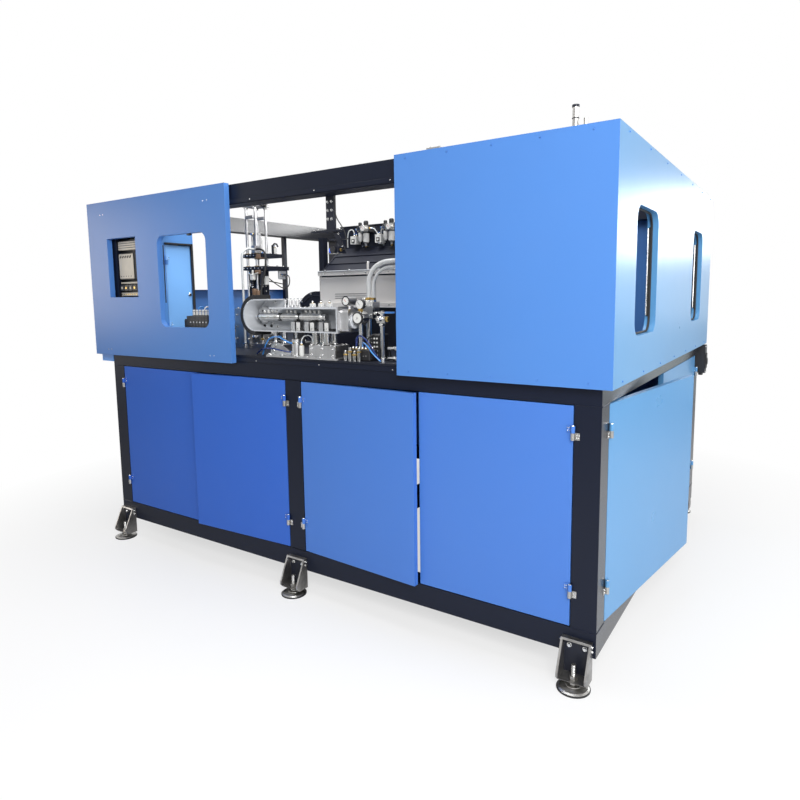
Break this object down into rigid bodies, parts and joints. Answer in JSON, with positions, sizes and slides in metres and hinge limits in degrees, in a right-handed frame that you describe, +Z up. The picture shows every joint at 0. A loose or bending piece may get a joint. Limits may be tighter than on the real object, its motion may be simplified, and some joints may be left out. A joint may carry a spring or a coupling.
{
  "type": "stretch blow moulding machine",
  "caption": "Stretch blow moulding machine in a welded frame with blue panels, hinged lower doors, a sliding front door, a mould with tower, an oven and a transfer unit.",
  "frame": {"origin": "on the floor under the middle of the welded frame", "axes": "+X along the front to the right end, +Y from the front to the back, +Z up"},
  "size_m": [3.2584, 2.4288, 2.163],
  "materials": {
    "blue_paint": "semi-gloss powder coat",
    "frame_paint": "satin dark grey paint",
    "deck_paint": "satin dark paint",
    "steel": "machined and zinc plated",
    "aluminium": "milled",
    "grey_paint": "light grey hammered paint",
    "dark_paint": "satin black paint",
    "plastic": "moulded black",
    "hose_plastic": "clear grey tube",
    "rubber": "moulded rubber",
    "chrome": "polished"
  },
  "bodies": {
    "machine": {"bottom_beams": "frame_paint", "lower_posts": "frame_paint", "deck_beams": "frame_paint", "deck_plate": "deck_paint", "upper_posts": "frame_paint", "top_beams": "frame_paint", "foot_brackets": "steel", "levelling_feet": "steel", "right_front_panel": "blue_paint", "right_end_wall": "blue_paint", "rear_upper_panel": "blue_paint", "left_end_wall": "blue_paint", "door_tracks": "frame_paint", "fixed_hinges": "steel", "lower_infill_panels": "blue_paint", "cabinet": "blue_paint", "mount_plate": "steel", "switchgear": "plastic", "oven": "grey_paint", "oven_hood": "dark_paint", "oven_stand": "dark_paint", "valve_board": "dark_paint", "regulators": "steel", "pressure_gauges": "chrome", "valve_boxes": "plastic", "blower": "dark_paint", "clamp_frame": "aluminium", "tower_frame": "aluminium", "lift_base": "aluminium", "air_fittings": "chrome", "air_receiver": "blue_paint", "air_hose": "hose_plastic", "drain_hose": "hose_plastic", "tower_hose": "hose_plastic", "head_cable": "rubber", "sensor_arm": "frame_paint", "vent_pipes": "steel", "socket_box": "plastic"},
    "sliding_door": {"sliding_door": "blue_paint", "door_glides": "plastic"},
    "front_door_1": {"door_1": "blue_paint"},
    "front_door_2": {"door_2": "blue_paint"},
    "front_door_3": {"door_3": "blue_paint"},
    "front_door_4": {"door_4": "blue_paint"},
    "end_door_5": {"door_5": "blue_paint"},
    "end_door_6": {"door_6": "blue_paint"},
    "cabinet_hatch": {"cabinet_hatch": "blue_paint"},
    "mould_left": {"mould_left": "aluminium"},
    "mould_right": {"mould_right": "aluminium"},
    "stretch_unit": {"stretch_plate": "aluminium", "stretch_cylinder": "aluminium"},
    "seal_head": {"seal_head": "dark_paint"},
    "carriage": {"transfer_tray": "aluminium", "transfer_belt": "rubber", "transfer_fittings": "grey_paint", "guide_rods": "steel"},
    "gripper_bar": {"gripper_bar": "chrome"},
    "tap_lever": {"tap_lever": "chrome"},
    "knob_1": {"regulator_knob_1": "plastic"},
    "knob_2": {"regulator_knob_2": "plastic"}
  },
  "joints": [
    {"name": "sliding_door_slide", "type": "slide", "parent": "machine", "child": "sliding_door", "axis": [1, 0, 0], "range_m": [0, 1.02]},
    {"name": "front_door_1_hinge", "type": "hinge", "parent": "machine", "child": "front_door_1", "pos_m": [-1.398, -1.121, 0.65], "axis": [0, 0, -1], "range_deg": [0, 110]},
    {"name": "front_door_2_hinge", "type": "hinge", "parent": "machine", "child": "front_door_2", "pos_m": [-0.052, -1.121, 0.65], "axis": [0, 0, 1], "range_deg": [-3, 87]},
    {"name": "front_door_3_hinge", "type": "hinge", "parent": "machine", "child": "front_door_3", "pos_m": [0.052, -1.121, 0.65], "axis": [0, 0, -1], "range_deg": [-3.5, 86.5]},
    {"name": "front_door_4_hinge", "type": "hinge", "parent": "machine", "child": "front_door_4", "pos_m": [1.398, -1.121, 0.65], "axis": [0, 0, 1], "range_deg": [0, 110]},
    {"name": "end_door_5_hinge", "type": "hinge", "parent": "machine", "child": "end_door_5", "pos_m": [1.509, -1.01, 0.65], "axis": [0, 0, -1], "range_deg": [-8, 102]},
    {"name": "end_door_6_hinge", "type": "hinge", "parent": "machine", "child": "end_door_6", "pos_m": [1.509, 1.01, 0.65], "axis": [0, 0, 1], "range_deg": [0, 110]},
    {"name": "cabinet_hatch_hinge", "type": "hinge", "parent": "machine", "child": "cabinet_hatch", "pos_m": [-1.043, -1.0255, 1.52], "axis": [0, 0, -1], "range_deg": [0, 100]},
    {"name": "mould_left_slide", "type": "slide", "parent": "machine", "child": "mould_left", "axis": [-1, 0, 0], "range_m": [0, 0.07]},
    {"name": "mould_right_slide", "type": "slide", "parent": "machine", "child": "mould_right", "axis": [1, 0, 0], "range_m": [0, 0.07]},
    {"name": "stretch_slide", "type": "slide", "parent": "machine", "child": "stretch_unit", "axis": [0, 0, -1], "range_m": [0, 0.04]},
    {"name": "seal_slide", "type": "slide", "parent": "machine", "child": "seal_head", "axis": [0, 0, -1], "range_m": [0, 0.04]},
    {"name": "lift_slide", "type": "slide", "parent": "machine", "child": "carriage", "axis": [0, 0, 1], "range_m": [0, 0.03]},
    {"name": "gripper_slide", "type": "slide", "parent": "carriage", "child": "gripper_bar", "axis": [1, 0, 0], "range_m": [-0.035, 0.04]},
    {"name": "tap_turn", "type": "hinge", "parent": "machine", "child": "tap_lever", "pos_m": [0.475, -1.012, 1.418], "axis": [0, 0, 1], "range_deg": [0, 90]},
    {"name": "knob_1_turn", "type": "hinge", "parent": "machine", "child": "knob_1", "pos_m": [-0.075, -0.372, 1.91], "axis": [0, 0, 1], "range_deg": [-135, 135]},
    {"name": "knob_2_turn", "type": "hinge", "parent": "machine", "child": "knob_2", "pos_m": [0.104, -0.372, 1.91], "axis": [0, 0, 1], "range_deg": [-135, 135]}
  ],
  "couplings": [
    {"joint": "mould_right_slide", "follows": "mould_left_slide", "ratio": 1}
  ]
}
